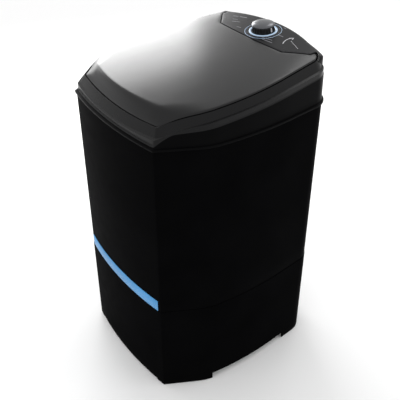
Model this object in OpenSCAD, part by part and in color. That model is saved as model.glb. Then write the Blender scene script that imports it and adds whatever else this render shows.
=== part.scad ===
// Semi-automatic top load washing machine: a bowed plastic cabinet on a footed base,
// a sloping top cover with a full-width lid and a dial panel behind it, and inside a
// hanging wash tub whose impeller is driven through a belt by a small motor.
// Units are millimetres. +Z is up, the front faces -Y, and the origin is on the floor
// below the middle of the body.

/* [Body] */
// Width between the side faces of the rim bead at the widest place
body_w = 492; // [480:1:504]
// Depth over the rim bead, front to back
body_d = 530; // [520:1:540]
// Height of the top of the rim bead
rim_z = 750; // [735:1:765]
// Height of the seam between the cabinet and the base
seam_z = 275; // [260:1:290]
// Half the distance between the two front corners
front_half = 178; // [170:1:186]
// How far the front bows forward between its corners
front_bow = 17; // [12:1:22]
// How far the back bows out
back_bow = 38; // [34:1:40]
// Wall thickness of the moulded panels
wall = 3; // [2.5:0.1:3.5]

/* [Top] */
// Slope of the lid and panel, rising to the back
slope = 4.8; // [4:0.1:5.5]
// Height of the gap round the lid above the origin
gap_z = 827.5; // [822:0.5:833]
// Rise of the lid's middle above its side edges
crown_rise = 13; // [10:0.5:15]
// Distance from the body's side to the gap round the lid
crown_inset = 25; // [23:0.5:27]
// Clearance round the lid
lid_gap = 2; // [1.5:0.1:2.5]
// Distance of the panel's front edge behind the origin, at its ends
panel_front = 155; // [152:1:158]

/* [Dial] */
// Distance of the dial's centre behind the origin
dial_y = 196.6; // [192:0.5:200]
// Radius of the knob's cap
knob_r = 28.5; // [25:0.5:29]
// Height of the knob's skirt
knob_h = 14.5; // [13:0.5:22]

/* [Wash tub] */
// Width of the tub
tub_w = 372; // [350:1:376]
// Depth of the tub, front to back
tub_d = 330; // [310:1:334]
// Distance of the tub's middle in front of the origin
tub_y = -42; // [-46:1:-38]
// Height of the tub's floor above the room's floor
tub_floor = 330; // [320:1:340]
// Radius of the impeller
impeller_r = 125; // [100:1:135]

/* [Drive] */
// Radius of the driven pulley
driven_r = 100; // [90:1:105]
// Radius of the motor pulley
motor_pulley_r = 25; // [20:1:30]
// Distance between the two pulley axes
belt_run = 172; // [168:1:176]
// Height of the belt's middle
belt_z = 240; // [236:1:244]
// Radial clearance of running fits
running = 0.05; // [0.02:0.01:0.09]

/* [Hidden] */
$fn = 96;

eps = 0.01;
big = 900;
half_w = body_w / 2;
half_d = body_d / 2;
bead_h = 6;
bead_z = rim_z - bead_h;
cabinet_inset = 4;
base_inset = 3;

// Straight flare behind each front corner, as sideways run for each unit of depth
flare = 0.536;
flare_end = [half_w - 9, 128 - half_d];
widest = [half_w + 4, 0];
rear_corner = [half_w - 20.2, half_d - 51.8];
rear_corner_r = 60;
back_half = 192;

// Radius of an arc from its half chord and its bow
function bow_r(half, bow) = (half * half + bow * bow) / (2 * bow);
// Distance of the crossing of the end tangents beyond the chord
function bow_tip(half, bow) = half * tan(asin(half / bow_r(half, bow)));

front_r = bow_r(front_half, front_bow);
back_r = bow_r(back_half, back_bow);
back_tip = half_d - back_bow + bow_tip(back_half, back_bow);

function unit(v) = v / norm(v);
function left_of(v) = [-v[1], v[0]];
function flat(p) = [p[0], p[1]];
function mirrored(c) = [for (i = [len(c) - 1:-1:0]) [-c[i][0], c[i][1], c[i][2]]];

// Corners [x, y, radius] of a convex outline moved inwards by d
function inset_corners(c, d) = let (n = len(c)) [for (i = [0:n - 1]) let (
    p = flat(c[i]),
    n0 = left_of(unit(p - flat(c[(i + n - 1) % n]))),
    n1 = left_of(unit(flat(c[(i + 1) % n]) - p)),
    q = p + d * (n0 + n1) / (1 + n0 * n1)) [q[0], q[1], max(c[i][2] - d, 0.5)]];

// Points of a convex outline whose corners, from the first to the last given, are rounded
function rounded(c, step = 12, first = 0, last = -1) = let (n = len(c))
    [for (i = [first:(last < 0 ? n - 1 : last)]) let (
    p = flat(c[i]),
    u0 = unit(p - flat(c[(i + n - 1) % n])),
    u1 = unit(flat(c[(i + 1) % n]) - p),
    n0 = left_of(u0),
    r = c[i][2],
    o = p + r * (n0 + left_of(u1)) / (1 + n0 * left_of(u1)),
    turn = acos(min(1, u0 * u1)),
    a = atan2(n0[1], n0[0]),
    k = max(2, ceil(r * turn * PI / 180 / step)))
    for (j = [0:k]) o - r * [cos(a + turn * j / k), sin(a + turn * j / k)]];

// Right half of the plan, from in front of the bow to the back
front_overrun = 40;
plan_right = [
    [front_half - flare * front_overrun, front_bow - half_d - front_overrun, 1],
    [flare_end[0], flare_end[1], 150],
    [widest[0], widest[1], 900],
    [rear_corner[0], rear_corner[1], rear_corner_r]];
plan_corners = concat(plan_right, [[0, back_tip, back_r]], mirrored(plan_right));

// Outline of the lid and panel together: the plan moved inwards, with its own back bow
crown_back = half_d - 11;
crown_back_half = 168;
crown_back_bow = 34;
crown_back_r = bow_r(crown_back_half, crown_back_bow);
crown_back_tip = crown_back - crown_back_bow + bow_tip(crown_back_half, crown_back_bow);
crown_inner = inset_corners(plan_corners, crown_inset);
crown_right = [crown_inner[0], crown_inner[1], [crown_inner[2][0], crown_inner[2][1], 700],
    [192.8, half_d - 55.5, 42]];
crown_corners = concat(crown_right, [[0, crown_back_tip, crown_back_r]], mirrored(crown_right));

// Front bow of radius r, from one flared side to the other, for the corners of an outline
function front_arc(c, r) = let (
    o = [0, front_r - half_d],
    p = flat(c[0]) - o,
    u = unit(flat(c[1]) - flat(c[0])),
    b = p * u,
    k = p + u * (-b - sqrt(b * b - p * p + r * r)),
    a = asin(k[0] / r),
    n = 14)
    [for (j = [-n:n]) o + r * [sin(a * j / n), -cos(a * j / n)]];

function bowed(c, r) = concat(front_arc(c, r), rounded(c, first = 1, last = len(c) - 2));

module plan2d(d) {
    polygon(bowed(inset_corners(plan_corners, d), front_r - d));
}

module crown2d(d) {
    polygon(bowed(inset_corners(crown_corners, d), front_r - crown_inset - d));
}

// Upright shell between two insets of the plan
module plan_wall(z0, z1, outer, inner) {
    translate([0, 0, z0]) linear_extrude(z1 - z0) difference() {
        plan2d(outer);
        plan2d(inner);
    }
}

// Side view of the top: the gap round the lid, dropping over the front
gap_slope = tan(slope);
gap_line = [[2 - half_d, rim_z - 2], [25 - half_d, 784], [40 - half_d, 790],
    [83 - half_d, 805.5], [117 - half_d, 813.5], [155 - half_d, gap_z - 110 * gap_slope],
    [half_d + 5, gap_z + (half_d + 5) * gap_slope]];

// Side view of the lid's upper surface along its middle, with its waterfall front
crown_z = gap_z + crown_rise;
lid_line = [[25.5 - half_d, 775], [29 - half_d, 797], [34 - half_d, 811], [39 - half_d, 817.5],
    [46 - half_d, crown_z - 219 * gap_slope - 0.6], [66 - half_d, crown_z - 199 * gap_slope],
    [half_d + 5, crown_z + (half_d + 5) * gap_slope]];

// Everything below a side-view line lowered by drop
module below(line, drop) {
    translate([-big / 2, 0, 0]) rotate([90, 0, 90]) linear_extrude(big)
        polygon(concat([for (p = line) [p[0], p[1] - drop]], [[half_d + 5, 400], [2 - half_d, 400]]));
}

// Long arch whose top is the crowned surface of the lid and panel
crown_half = 221;
crown_r = bow_r(crown_half, crown_rise);
arch_half = 8.4;
module crowned(drop) {
    translate([0, 0, crown_z]) rotate([slope, 0, 0]) translate([0, big / 2, 0])
        rotate([90, 0, 0]) linear_extrude(big) polygon(concat(
            [for (a = [-arch_half:0.7:arch_half + eps])
                [(crown_r - drop) * sin(a), (crown_r - drop) * cos(a) - crown_r]],
            [[crown_r * sin(arch_half), -200], [-crown_r * sin(arch_half), -200]]));
}

// Local frame on the crowned surface at the dial, with +Z along the knob's axis
dial_z = crown_z + dial_y * gap_slope;
module on_dial() {
    translate([0, dial_y, dial_z]) rotate([slope, 0, 0]) children();
}

module ring2d(outer, inner) {
    difference() {
        circle(outer);
        circle(inner);
    }
}

module tube(h, outer, inner) {
    linear_extrude(h) ring2d(outer, inner);
}

// Pan-head screw standing on the XY plane, with its shank below
module screw(head_r, head_h, shank_r, shank_l) {
    difference() {
        cylinder(h = head_h, r = head_r, $fn = 48);
        for (a = [0, 90]) rotate([0, 0, a])
            translate([-head_r * 0.6, -0.5, head_h * 0.5]) cube([head_r * 1.2, 1, head_h]);
    }
    translate([0, 0, -shank_l]) cylinder(h = shank_l, r = shank_r, $fn = 48);
}

// Hexagon-head bolt standing on the XY plane
module bolt(size_r, shank_l) {
    cylinder(h = size_r * 1.3, r = size_r * 2, $fn = 6);
    translate([0, 0, -shank_l]) cylinder(h = shank_l, r = size_r, $fn = 48);
}

// ---------------------------------------------------------------- outer shells

service_w = 220;
service_z = [300, 520];
service_lap = 12;

module upper_cabinet() {
    color("#101114") difference() {
        plan_wall(seam_z, bead_z, cabinet_inset, cabinet_inset + wall);
        translate([-service_w / 2 + service_lap, half_d - 100, service_z[0] + service_lap])
            cube([service_w - 2 * service_lap, 200, service_z[1] - service_z[0] - 2 * service_lap]);
        cover_screw_places() cylinder(h = 60, r = 1.9, center = true, $fn = 32);
        base_screw_places() cylinder(h = 11, r = 1.9, center = true, $fn = 32);
    }
}

notch_z = 22;
notch_y = [-123, 132];
spigot_x = 140;
spigot_z = 62;
spigot_r = 13;
gland_x = -120;
gland_z = 150;

module base_skirt() {
    color("#0e0f12") difference() {
        union() {
            plan_wall(2, seam_z - 20, base_inset, base_inset + wall);
            plan_wall(seam_z - 20, seam_z, base_inset, cabinet_inset + wall + 6);
            plan_wall(seam_z, seam_z + 15, cabinet_inset + wall + 0.3, cabinet_inset + wall + 3);
            // Foot plates over the pads
            translate([0, 0, 8]) linear_extrude(4) intersection() {
                plan2d(base_inset + wall / 2);
                union() {
                    for (s = [-1, 1]) {
                        translate([s * 170, -205]) square([100, 130], center = true);
                        translate([s * 180, 185]) square([120, 110], center = true);
                    }
                }
            }
            for (p = foot_places) translate([p[0], p[1], 8]) cylinder(h = 30, r = 9);
        }
        // Arches between the feet
        translate([-big / 2, notch_y[0], -1]) cube([big, notch_y[1] - notch_y[0], notch_z + 1]);
        translate([-150, -half_d - 20, -1]) cube([300, 70, 7]);
        translate([-120, half_d - 120, -1]) cube([240, 200, notch_z + 1]);
        translate([spigot_x, half_d, spigot_z]) rotate([90, 0, 0])
            cylinder(h = 80, r = 16.2, center = true);
        translate([gland_x - 25, half_d - 60, gland_z - 25]) cube([50, 60, 50]);
        for (p = foot_places) translate([p[0], p[1], 0]) cylinder(h = 30, r = 2.6, $fn = 32);
        base_screw_places() cylinder(h = 11, r = 1.9, center = true, $fn = 32);
    }
}

// Plate behind the cord's cut-out in the base, which holds the cable gland
module gland_plate() {
    color("#17181b") difference() {
        intersection() {
            plan_wall(gland_z - 34, gland_z + 34, base_inset + wall, base_inset + wall + 2.5);
            translate([gland_x - 34, half_d - 70, 0]) cube([68, 70, big]);
        }
        translate([gland_x, half_d, gland_z]) rotate([90, 0, 0])
            cylinder(h = 80, r = 8.2, center = true);
    }
}

stripe_h = 32;
module front_stripe() {
    color("#4a8fc4") intersection() {
        translate([0, 0, seam_z + 0.5]) linear_extrude(stripe_h) difference() {
            plan2d(cabinet_inset - 1.6);
            plan2d(cabinet_inset);
        }
        translate([0, -half_d, 0]) cube([2 * front_half - 12, 60, big], center = true);
    }
}

// ---------------------------------------------------------------- top cover

deck_drop = 12;
shoulder_drop = 39;

// Outer form of the cover, made smaller by t
module cover_form(t) {
    intersection() {
        translate([0, 0, bead_z]) linear_extrude(130) plan2d(cabinet_inset + 1 + t);
        hull() {
            translate([0, 0, gap_z - t]) rotate([slope, 0, 0])
                translate([0, 0, -0.1]) linear_extrude(0.1) crown2d(t);
            translate([0, 0, gap_z - t - shoulder_drop]) rotate([slope, 0, 0])
                translate([0, 0, -20]) linear_extrude(20) plan2d(t - 1);
            translate([0, 0, bead_z - 60]) linear_extrude(20) plan2d(t - 1);
        }
        below(gap_line, t);
    }
}

module tub2d(d) {
    translate([0, tub_y]) polygon(rounded(inset_corners([
        [tub_w / 2, -tub_d / 2, 70], [tub_w / 2, tub_d / 2, 70],
        [-tub_w / 2, tub_d / 2, 70], [-tub_w / 2, -tub_d / 2, 70]], d), 6));
}

flange_z = 752;
hinge_y = 203;
hinge_z = 844.5;
pin_r = 2;
boss_x = [149, 165];
knuckle_x = [171.5, 178];
module top_cover() {
    color("#141518") difference() {
        union() {
            difference() {
                cover_form(0);
                intersection() {
                    translate([0, 0, bead_z - 1]) linear_extrude(140) plan2d(cabinet_inset + 1 + wall);
                    cover_form(wall);
                    below(gap_line, deck_drop + wall);
                }
            }
            // Rim bead
            plan_wall(bead_z, rim_z, 0, cabinet_inset + 1 + wall);
            // Skirt that drops inside the cabinet
            plan_wall(bead_z - 10, bead_z + 1, cabinet_inset + wall + 0.3, cabinet_inset + wall + 3);
            // Collar round the tub, and the bosses for its screws
            intersection() {
                translate([0, 0, flange_z]) linear_extrude(120) {
                    difference() {
                        tub2d(-wall - 0.3);
                        tub2d(-0.3);
                    }
                    for (p = tub_screw_places) translate(p) circle(5);
                }
                below(gap_line, deck_drop);
            }
        }
        for (p = tub_screw_places) translate([p[0], p[1], flange_z - 1])
            cylinder(h = 16, r = 1.9, $fn = 32);
        // Seat of the lid and panel
        difference() {
            translate([0, 0, rim_z]) linear_extrude(160) crown2d(1);
            below(gap_line, deck_drop);
            hinge_bosses();
        }
        translate([0, 0, rim_z - 20]) linear_extrude(160) tub2d(-0.3);
        // Window for the timer
        translate([-45, dial_y - 34, rim_z]) cube([90, 66, 120]);
        translate([0, hinge_y, hinge_z]) rotate([0, 90, 0])
            cylinder(h = 400, r = pin_r + running, center = true, $fn = 48);
    }
}

// Posts that carry the hinge pins, under the ends of the panel
module hinge_bosses() {
    for (s = [-1, 1])
        translate([s * (boss_x[0] + boss_x[1]) / 2, hinge_y, hinge_z - 20])
            translate([-(boss_x[1] - boss_x[0]) / 2, -5, 0])
            cube([boss_x[1] - boss_x[0], 10, 20 + pin_r + 1.2]);
}

// ---------------------------------------------------------------- panel and dial

panel_corner = [168, half_d - 67];
panel_end_x = 169.5;
panel_bow = 7;
module panel2d(d) {
    intersection() {
        crown2d(lid_gap + d);
        union() {
            polygon([[-118, panel_front + d], [118, panel_front + d],
                [panel_corner[0] - d, panel_corner[1] + d / 2],
                [panel_end_x - d, half_d], [-panel_end_x + d, half_d],
                [-panel_corner[0] + d, panel_corner[1] + d / 2]]);
            intersection() {
                translate([0, bow_r(118, panel_bow) + panel_front - panel_bow])
                    circle(bow_r(118, panel_bow) - d, $fn = 360);
                translate([-118, panel_front - 20]) square([236, 30]);
            }
        }
    }
}

module control_panel() {
    color("#2a2c30") difference() {
        intersection() {
            translate([0, 0, rim_z]) linear_extrude(160) panel2d(0);
            crowned(0);
        }
        intersection() {
            translate([0, 0, rim_z - 1]) linear_extrude(160) panel2d(2.5);
            crowned(2.5);
        }
        below(gap_line, deck_drop);
        // Flat seat and hole for the dial
        on_dial() translate([0, 0, -0.6]) cylinder(h = 20, r = 36.2);
        on_dial() cylinder(h = 40, r = 4.4, center = true);
        on_dial() for (s = [-1, 1]) translate([s * 20, 0, 0])
            cylinder(h = 40, r = 1.7, center = true, $fn = 32);
        translate([0, hinge_y, hinge_z]) rotate([0, 90, 0])
            cylinder(h = 400, r = pin_r + 0.5, center = true, $fn = 48);
    }
}

module dial_ring() {
    color("#b9d4ea") on_dial() rotate_extrude() polygon([[30.2, -0.6], [36, -0.6], [36, 0.6],
        [35.2, 1.4], [31.4, 1.4], [30.2, 0.6]]);
}

knob_lift = 0.5;
cap_seat = 3;
module timer_knob() {
    color("#17181b") on_dial() translate([0, 0, knob_lift]) difference() {
        union() {
            cylinder(h = knob_h, r1 = knob_r - 1.5, r2 = knob_r - 3);
            // Finger grips round the skirt
            for (a = [0:15:345]) rotate([0, 0, a]) translate([knob_r - 3, 0, 2])
                cylinder(h = knob_h - 5, r = 1.2, $fn = 24);
        }
        translate([0, 0, -eps]) cylinder(h = knob_h - 8, r = knob_r - 6);
        translate([0, 0, knob_h - cap_seat]) cylinder(h = cap_seat + 1, r = knob_r - 6);
        translate([0, 0, -1]) cylinder(h = knob_h, r = shaft_r + running, $fn = 48);
    }
    color("#17181b") on_dial() translate([0, 0, knob_lift + 3]) difference() {
        cylinder(h = knob_h - 10, r = 6.5);
        translate([0, 0, -1]) cylinder(h = knob_h, r = shaft_r + running, $fn = 48);
    }
}

cap_dome = 7;
module knob_cap() {
    color("#9a9ca0") on_dial() translate([0, 0, knob_lift + knob_h]) {
        translate([0, 0, -cap_seat]) cylinder(h = cap_seat + eps, r = knob_r - 6.1);
        rotate_extrude() polygon([[0, 0], [knob_r - 0.5, 0], [knob_r, 0.6], [knob_r, 1.8],
            for (i = [1:10]) [knob_r * cos(9 * i), 1.8 + (cap_dome - 1.8) * sin(9 * i)]]);
    }
}

shaft_r = 3;
timer_top = -5;
timer_h = 32;
module timer_shaft() {
    color("#b8bac0") on_dial() translate([0, 0, timer_top - 8])
        cylinder(h = 8 - timer_top + knob_lift + knob_h - 5, r = shaft_r, $fn = 48);
}

module timer_body() {
    color("#d8d4c8") on_dial() difference() {
        union() {
            translate([-28, -25, timer_top - timer_h]) cube([56, 50, timer_h]);
            translate([0, 0, timer_top - eps]) cylinder(h = 1.8, r = 7);
            for (x = [-21, -7, 7, 21]) translate([x - 3, -4, timer_top - timer_h - 8])
                cube([6, 0.8, 8 + eps]);
        }
        translate([0, 0, timer_top - 8]) cylinder(h = 40, r = shaft_r + running, $fn = 48);
        for (s = [-1, 1]) translate([s * 20, 0, timer_top - 12])
            cylinder(h = 30, r = 1.5, $fn = 32);
    }
}

module timer_screws() {
    color("#c9ccd2") on_dial() for (s = [-1, 1]) translate([s * 20, 0, -0.6]) {
        cylinder(h = 0.9, r = 3, $fn = 32);
        translate([0, 0, -14]) cylinder(h = 14.1, r = 1.45, $fn = 32);
    }
}

// ---------------------------------------------------------------- lid

lid_t = 2.6;
lid_lift = 2;

// Outer form of the lid, made smaller by t
module lid_form(t) {
    intersection() {
        translate([0, 0, rim_z]) linear_extrude(160) difference() {
            crown2d(1 + lid_gap + t);
            lid_cutout(t);
        }
        crowned(t);
        below(lid_line, t);
    }
}

// Rear part of the lid's outline that makes way for the panel
module lid_cutout(t) {
    g = lid_gap + t;
    polygon([[-118 - g / 3, panel_front - g], [118 + g / 3, panel_front - g],
        [panel_corner[0] + g * 0.8, panel_corner[1] - g * 0.5],
        [panel_end_x + g, half_d + 20], [-panel_end_x - g, half_d + 20],
        [-panel_corner[0] - g * 0.8, panel_corner[1] - g * 0.5]]);
    intersection() {
        translate([0, bow_r(118, panel_bow) + panel_front - panel_bow])
            circle(bow_r(118, panel_bow) + g, $fn = 360);
        translate([-120, panel_front - 20]) square([240, 30]);
    }
}

// Cuts the rear ends of the lid's ears back so that they swing clear of their seat
ear_r = 11.2;
module ear_relief() {
    difference() {
        translate([-big / 2, hinge_y, hinge_z - 40]) cube([big, 60, 80]);
        translate([0, hinge_y, hinge_z]) rotate([0, 90, 0])
            cylinder(h = big + 10, r = ear_r, center = true);
    }
    translate([0, 0, rim_z]) linear_extrude(160) for (s = [-1, 1])
        polygon([[s * 188.4, hinge_y - 4], [s * 230, hinge_y - 4], [s * 230, hinge_y + 4],
            [s * 181.5, hinge_y + 4]]);
}

module lid() {
    color("#26272b") difference() {
        union() {
            difference() {
                lid_form(0);
                intersection() {
                    lid_form(lid_t);
                    translate([0, 0, rim_z - 1]) linear_extrude(200) crown2d(1 + lid_gap + lid_t);
                }
            }
            intersection() {
                lid_form(0);
                for (s = [-1, 1]) {
                    translate([s * (knuckle_x[0] + knuckle_x[1]) / 2, hinge_y, hinge_z])
                        rotate([0, 90, 0]) cylinder(h = knuckle_x[1] - knuckle_x[0], r = 5, center = true);
                    // Stiffening ribs along the lid
                    translate([s * 90 - 1.25, 50 - half_d, crown_z - 60]) cube([2.5, 330, 100]);
                }
            }
        }
        below(gap_line, deck_drop - lid_lift);
        ear_relief();
        translate([0, hinge_y, hinge_z]) rotate([0, 90, 0])
            cylinder(h = 400, r = pin_r + running, center = true, $fn = 48);
    }
}

module lid_buffers() {
    color("#303236") for (s = [-1, 1]) intersection() {
        translate([s * 120, 37.5 - half_d, rim_z]) cylinder(h = 80, r = 3.5);
        difference() {
            below(gap_line, deck_drop - lid_lift + 0.1);
            below(gap_line, deck_drop);
        }
    }
}

module lid_hinge_pins() {
    color("#c9ccd2") for (s = [-1, 1])
        translate([s * (boss_x[0] + knuckle_x[1]) / 2, hinge_y, hinge_z]) rotate([0, 90, 0])
            cylinder(h = knuckle_x[1] - boss_x[0], r = pin_r, center = true, $fn = 48);
}

// ---------------------------------------------------------------- wash tub

tub_wall = 3;
hub_r = 20;
drain_xy = [140, 20];
filter_w = 90;
filter_z = [560, 700];
module wash_tub() {
    color("#2c2e33") difference() {
        union() {
            translate([0, 0, tub_floor - tub_wall]) linear_extrude(770 - tub_floor + tub_wall)
                tub2d(0);
            translate([0, 0, flange_z - 4]) linear_extrude(4) tub2d(-12);
            // Boss round the drain opening
            translate([drain_xy[0], drain_xy[1], tub_floor - 40]) cylinder(h = 40, r = 13);
            // Posts for the flange screws
            for (p = tub_screw_places) translate([p[0], p[1], flange_z - 16]) cylinder(h = 13, r = 6);
        }
        translate([0, 0, tub_floor]) linear_extrude(500) tub2d(tub_wall);
        translate([0, tub_y, tub_floor - 20]) cylinder(h = 60, r = hub_r + 0.1);
        translate([drain_xy[0], drain_xy[1], tub_floor - 45]) cylinder(h = 60, r = 10);
        for (p = tub_screw_places) translate([p[0], p[1], flange_z - 20])
            cylinder(h = 30, r = 1.9, $fn = 32);
        for (p = bracket_places) translate([p[0], p[1], tub_floor - 10])
            cylinder(h = 20, r = 3.1, $fn = 32);
        for (p = housing_places) translate([p[0], p[1], tub_floor - 10])
            cylinder(h = 20, r = 3.1, $fn = 32);
    }
    // Raised ribs moulded on the tub's side walls
    color("#2c2e33") for (s = [-1, 1]) for (y = [-60, 0, 60])
        translate([s * (tub_w / 2 - tub_wall + 0.5), tub_y + y, tub_floor + 60])
            cylinder(h = 330, r = 4, $fn = 48);
}

tub_screw_places = [for (s = [-1, 1]) for (y = [-70, 0, 70]) [s * (tub_w / 2 + 6), tub_y + y]];
module tub_screws() {
    color("#c9ccd2") for (p = tub_screw_places) translate([p[0], p[1], flange_z - 16])
        mirror([0, 0, 1]) screw(3.6, 2.4, 1.85, 29);
}

filter_y = tub_y + tub_d / 2 - tub_wall;
module lint_filter_frame() {
    color("#b9bcc2") translate([0, filter_y, 0]) difference() {
        translate([-filter_w / 2 - 5, -14, filter_z[0] - 5])
            cube([filter_w + 10, 14, filter_z[1] - filter_z[0] + 10]);
        translate([-filter_w / 2 - 0.4, -20, filter_z[0] - 0.4])
            cube([filter_w + 0.8, 17, filter_z[1] - filter_z[0] + 0.8]);
    }
}

module lint_filter() {
    color("#7fb2d9") translate([0, filter_y, 0]) {
        difference() {
            translate([-filter_w / 2, -18, filter_z[0]])
                cube([filter_w, 14, filter_z[1] - filter_z[0]]);
            translate([-filter_w / 2 + 8, -19, filter_z[0] + 8])
                cube([filter_w - 16, 12, filter_z[1] - filter_z[0] - 16]);
        }
        // Mesh bars across the window
        for (i = [1:9]) translate([-filter_w / 2 + 7.5, -12, filter_z[0] + 8 + i * 12.4])
            cube([filter_w - 15, 1.6, 1.6]);
        for (i = [1:5]) translate([-filter_w / 2 + 8 + i * 12.3 - 0.8, -12, filter_z[0] + 7.5])
            cube([1.6, 1.6, filter_z[1] - filter_z[0] - 15]);
        // Finger pull
        translate([-16, -24, filter_z[1] - 7]) cube([32, 7, 3]);
    }
}

// ---------------------------------------------------------------- impeller and drive

module on_axis(z) {
    translate([0, tub_y, z]) children();
}

spindle_r = 6;
module impeller() {
    color("#a9c7dd") on_axis(tub_floor + 5) difference() {
        union() {
            rotate_extrude() polygon([[0, 0], [impeller_r - 4, 0], [impeller_r, 3],
                [impeller_r, 6], [impeller_r - 6, 8], [30, 17], [26, 34], [20, 38], [0, 38]]);
            for (a = [0:60:300]) rotate([0, 0, a]) hull() {
                translate([22, 0, 10]) cylinder(h = 22, r = 5, $fn = 32);
                translate([impeller_r - 16, 0, 4]) cylinder(h = 10, r = 4, $fn = 32);
            }
        }
        translate([0, 0, -1]) cylinder(h = 30, r = spindle_r + running);
        translate([0, 0, -1]) cylinder(h = 60, r = 2.6, $fn = 32);
        translate([0, 0, 33]) cylinder(h = 10, r = 8);
        // Hollow underside
        translate([0, 0, -1]) tube(4, impeller_r - 10, 16);
    }
}

module impeller_screw() {
    color("#c9ccd2") on_axis(tub_floor + 38) screw(6.5, 3.5, 2.5, 24);
}

module drive_shaft() {
    color("#b8bac0") on_axis(belt_z - 28) difference() {
        cylinder(h = tub_floor + 33.9 - belt_z + 28, r = spindle_r);
        translate([0, 0, tub_floor + 13 - belt_z + 28]) cylinder(h = 30, r = 2.55, $fn = 32);
        translate([0, 0, -1]) cylinder(h = 15, r = 0.9, $fn = 32);
    }
}

housing_places = [for (a = [45:90:315]) [45 * cos(a), tub_y + 45 * sin(a)]];
housing_low = belt_z + 20;
module bearing_housing() {
    color("#6d7076") difference() {
        union() {
            on_axis(tub_floor - tub_wall - 6) cylinder(h = 6, r = 56);
            on_axis(housing_low) cylinder(h = tub_floor - housing_low - tub_wall, r = 17);
            on_axis(tub_floor - tub_wall - eps) cylinder(h = tub_wall + 1, r = hub_r);
            for (a = [0:90:270]) on_axis(housing_low + 20) rotate([0, 0, a])
                translate([14, -2, 0]) cube([30, 4, tub_floor - tub_wall - 3 - housing_low - 20]);
        }
        on_axis(housing_low - 1) cylinder(h = 100, r = 9);
        on_axis(tub_floor - 7) cylinder(h = 20, r = 13);
        for (p = housing_places) translate([p[0], p[1], tub_floor - 20])
            cylinder(h = 30, r = 3.1, $fn = 32);
    }
}

module shaft_bushes() {
    color("#b08a4a") for (z = [housing_low, tub_floor - 27]) on_axis(z)
        tube(18, 9, spindle_r + running);
}

module shaft_seal() {
    color("#1a1a1c") on_axis(tub_floor - 7) tube(7, 12.9, spindle_r + running);
}

module housing_bolts() {
    color("#c9ccd2") for (p = housing_places) translate([p[0], p[1], tub_floor - tub_wall - 6])
        mirror([0, 0, 1]) bolt(3, 8.5);
}

groove_h = 12;

// V-grooved wheel with its middle on the XY plane
module vee_wheel(r) {
    rotate_extrude() polygon([[0, -groove_h], [r + 4, -groove_h], [r + 4, -groove_h + 3],
        [r - 5, -3], [r - 5, 3], [r + 4, groove_h - 3], [r + 4, groove_h], [0, groove_h]]);
}

module driven_pulley() {
    color("#8b8e94") on_axis(belt_z) difference() {
        vee_wheel(driven_r);
        translate([0, 0, -20]) cylinder(h = 40, r = spindle_r + running);
        for (z = [-groove_h - 1, 4]) translate([0, 0, z])
            tube(groove_h - 3, driven_r - 12, 18);
        for (a = [0:60:300]) rotate([0, 0, a]) translate([56, 0, 0])
            cylinder(h = 40, r = 17, center = true);
    }
}

module pulley_nut() {
    color("#c9ccd2") on_axis(belt_z - groove_h - 7) difference() {
        cylinder(h = 6.9, r = 10, $fn = 6);
        translate([0, 0, -1]) cylinder(h = 10, r = spindle_r + running);
    }
}

motor_y = tub_y + belt_run;
module on_motor(z) {
    translate([0, motor_y, z]) children();
}

// Belt outline at distance d outside the pulleys' pitch circles
module belt2d(d) {
    lean = asin((driven_r - motor_pulley_r) / belt_run);
    polygon(concat(
        [for (i = [0:60]) let (a = 180 - lean + (180 + 2 * lean) * i / 60)
            [(driven_r + d) * cos(a), tub_y + (driven_r + d) * sin(a)]],
        [for (i = [0:24]) let (a = lean + (180 - 2 * lean) * i / 24)
            [(motor_pulley_r + d) * cos(a), motor_y + (motor_pulley_r + d) * sin(a)]]));
}

module drive_belt() {
    color("#1b1b1d") translate([0, 0, belt_z - 2.4]) linear_extrude(4.8) difference() {
        belt2d(3.6);
        belt2d(-3.6);
    }
}

module motor_pulley() {
    color("#8b8e94") on_motor(belt_z) difference() {
        vee_wheel(motor_pulley_r);
        translate([0, 0, -20]) cylinder(h = 40, r = motor_shaft_r + running, $fn = 48);
    }
}

motor_shaft_r = 5;
bracket_z = 206;
motor_top = bracket_z - 8;
motor_h = 112;
motor_r = 66;
module motor_shaft() {
    color("#b8bac0") on_motor(motor_top - 30)
        cylinder(h = belt_z + groove_h + 3 - motor_top + 30, r = motor_shaft_r, $fn = 48);
}

module motor_body() {
    color("#74777d") on_motor(motor_top - motor_h) difference() {
        union() {
            translate([0, 0, 20]) cylinder(h = motor_h - 40, r = motor_r);
            cylinder(h = motor_h, r = motor_r - 8);
            translate([0, 0, motor_h - eps]) cylinder(h = 5, r = 14);
            // Lugs on the upper end shield
            for (a = [45:90:315]) rotate([0, 0, a]) translate([0, -8, motor_h - 6])
                cube([74, 16, 6]);
        }
        translate([0, 0, motor_h - 30]) cylinder(h = 60, r = motor_shaft_r + running, $fn = 48);
        for (a = [45:90:315]) rotate([0, 0, a]) translate([66, 0, motor_h - 10])
            cylinder(h = 20, r = 3.2, $fn = 32);
        // Cooling slots in the lower end shield
        for (a = [0:30:330]) rotate([0, 0, a]) translate([28, -2.5, -1]) cube([24, 5, 8]);
    }
}

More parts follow.
